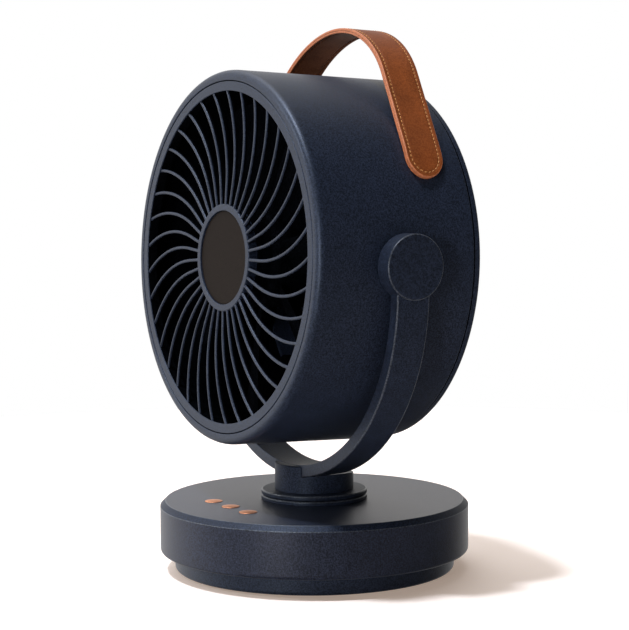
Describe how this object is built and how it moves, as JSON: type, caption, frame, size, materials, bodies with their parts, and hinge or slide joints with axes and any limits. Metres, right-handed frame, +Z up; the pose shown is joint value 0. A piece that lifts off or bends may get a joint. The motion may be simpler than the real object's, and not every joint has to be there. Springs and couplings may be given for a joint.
{
  "type": "mini desk fan",
  "caption": "Desk fan with a drum head behind a spiral grille that tilts in a yoke, swings on a round push-button base and is carried by a leather strap.",
  "frame": {"origin": "middle of the surface that the fan stands on, under the centre of the round base", "axes": "+Z up, the air leaves the grille towards -Y, +X to the right seen from the front"},
  "size_m": [0.195, 0.1504, 0.2623],
  "materials": {
    "body_plastic": "fine moulded grain, dark navy",
    "drum_plastic": "fine moulded grain, dark navy",
    "grille_plastic": "smooth moulded, dark slate navy",
    "hub_plate": "smooth, dark warm grey",
    "inner_plastic": "plain moulded, black",
    "leather": "grained cognac leather",
    "leather_lining": "smooth dark brown leather",
    "button_copper": "satin copper plate",
    "rubber": "matt black",
    "steel": "zinc plated",
    "bronze": "sintered bronze",
    "gear_nylon": "natural nylon",
    "board": "green solder mask",
    "battery_wrap": "silver foil pouch",
    "winding": "enamelled copper wire",
    "magnet": "sintered ferrite"
  },
  "bodies": {
    "base": {"base_shell": "body_plastic", "base_plate": "body_plastic", "foot_pads": "rubber", "base_screws": "steel", "base_collar": "body_plastic", "swivel_bush": "bronze", "control_board": "board", "board_screws": "steel", "button_switches": "inner_plastic", "battery_pack": "battery_wrap", "usb_inlet": "steel", "charge_board": "board", "swing_motor": "steel", "swing_motor_screws": "steel"},
    "pinion": {"swing_pinion": "gear_nylon", "swing_shaft": "steel"},
    "left_button": {"button_left": "button_copper"},
    "middle_button": {"button_middle": "button_copper"},
    "right_button": {"button_right": "button_copper"},
    "turret": {"swivel_washer": "inner_plastic", "neck_collar": "body_plastic", "neck_column": "body_plastic", "yoke": "body_plastic", "yoke_screws": "steel", "swivel_spindle": "steel", "swing_gear": "gear_nylon", "spindle_clip": "steel", "pivot_washers": "inner_plastic", "pivot_cap_left": "body_plastic", "pivot_cap_right": "body_plastic"},
    "head": {"head_shell": "drum_plastic", "front_grille": "grille_plastic", "hub_badge": "hub_plate", "rear_cover": "drum_plastic", "rear_screws": "steel", "motor_can": "steel", "motor_end_cap": "inner_plastic", "motor_screws": "steel", "motor_bearings": "steel", "stator_core": "steel", "stator_coils": "winding", "pivot_bolts": "steel", "strap_leather": "leather", "strap_lining": "leather_lining", "strap_screws": "steel"},
    "rotor": {"impeller": "inner_plastic", "motor_shaft": "steel", "rotor_magnet": "magnet", "impeller_nut": "steel"}
  },
  "joints": [
    {"name": "neck_swing", "type": "hinge", "parent": "base", "child": "turret", "pos_m": [0, 0, 0.037], "axis": [0, 0, 1], "range_deg": [-45, 45]},
    {"name": "pinion_spin", "type": "hinge", "parent": "base", "child": "pinion", "pos_m": [-0.01771, -0.01771, 0.0255], "axis": [0, 0, 1], "range_deg": [-116, 116]},
    {"name": "head_tilt", "type": "hinge", "parent": "turret", "child": "head", "pos_m": [0, -0.006, 0.1515], "axis": [-1, 0, 0], "range_deg": [-17, 25]},
    {"name": "fan_spin", "type": "hinge", "parent": "head", "child": "rotor", "pos_m": [0, -0.006, 0.1515], "axis": [0, -0.9992, 0.0401], "continuous": true},
    {"name": "left_button_press", "type": "slide", "parent": "base", "child": "left_button", "axis": [0, 0, -1], "range_m": [0, 0.0006], "stiffness_N_per_m": 400},
    {"name": "middle_button_press", "type": "slide", "parent": "base", "child": "middle_button", "axis": [0, 0, -1], "range_m": [0, 0.0006], "stiffness_N_per_m": 400},
    {"name": "right_button_press", "type": "slide", "parent": "base", "child": "right_button", "axis": [0, 0, -1], "range_m": [0, 0.0006], "stiffness_N_per_m": 400}
  ],
  "couplings": [
    {"joint": "pinion_spin", "follows": "neck_swing", "ratio": -2.5714}
  ]
}
